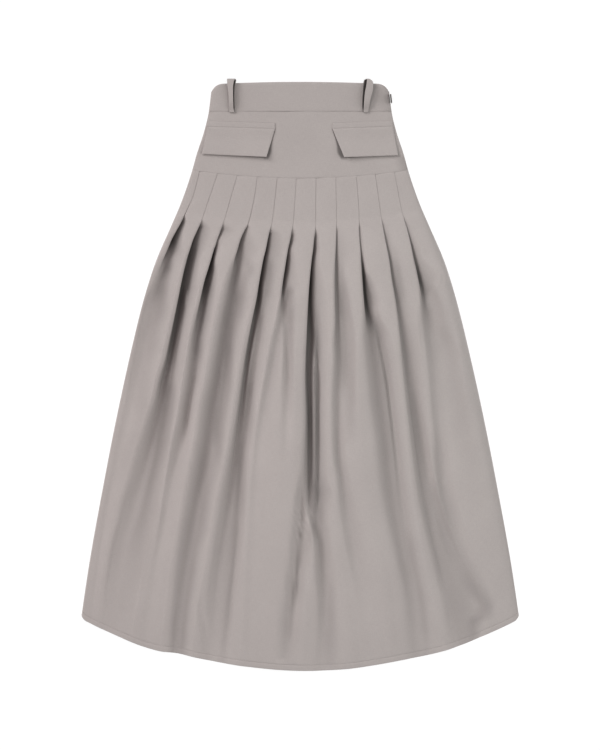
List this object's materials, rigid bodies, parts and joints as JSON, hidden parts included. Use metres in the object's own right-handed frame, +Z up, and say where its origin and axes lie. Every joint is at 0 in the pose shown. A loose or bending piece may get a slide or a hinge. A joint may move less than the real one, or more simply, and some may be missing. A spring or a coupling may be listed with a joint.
{
  "type": "pleated skirt",
  "caption": "Long A-line skirt laid flat, front up: waistband with belt loops, plain yoke with pocket flaps, and knife pleats sewn down at the top that open into folds towards a curved hem.",
  "frame": {"origin": "on the surface that the skirt lies on, under the middle of the garment's box", "axes": "+Y from the hem towards the waist, +Z up from the surface, out of the front of the skirt, +X to the right of someone who looks down at the front"},
  "size_m": [0.7428, 1.0056, 0.0311],
  "materials": {
    "cloth": "matte fine plain weave, warm light grey",
    "button": "dark brown, satin"
  },
  "bodies": {
    "root": {"front_skirt": "cloth", "back_skirt": "cloth", "front_yoke": "cloth", "back_yoke": "cloth", "front_waistband": "cloth", "back_waistband": "cloth", "left_flap": "cloth", "right_flap": "cloth", "left_welt": "cloth", "right_welt": "cloth", "left_belt_loop": "cloth", "right_belt_loop": "cloth", "side_button": "button"}
  },
  "joints": []
}
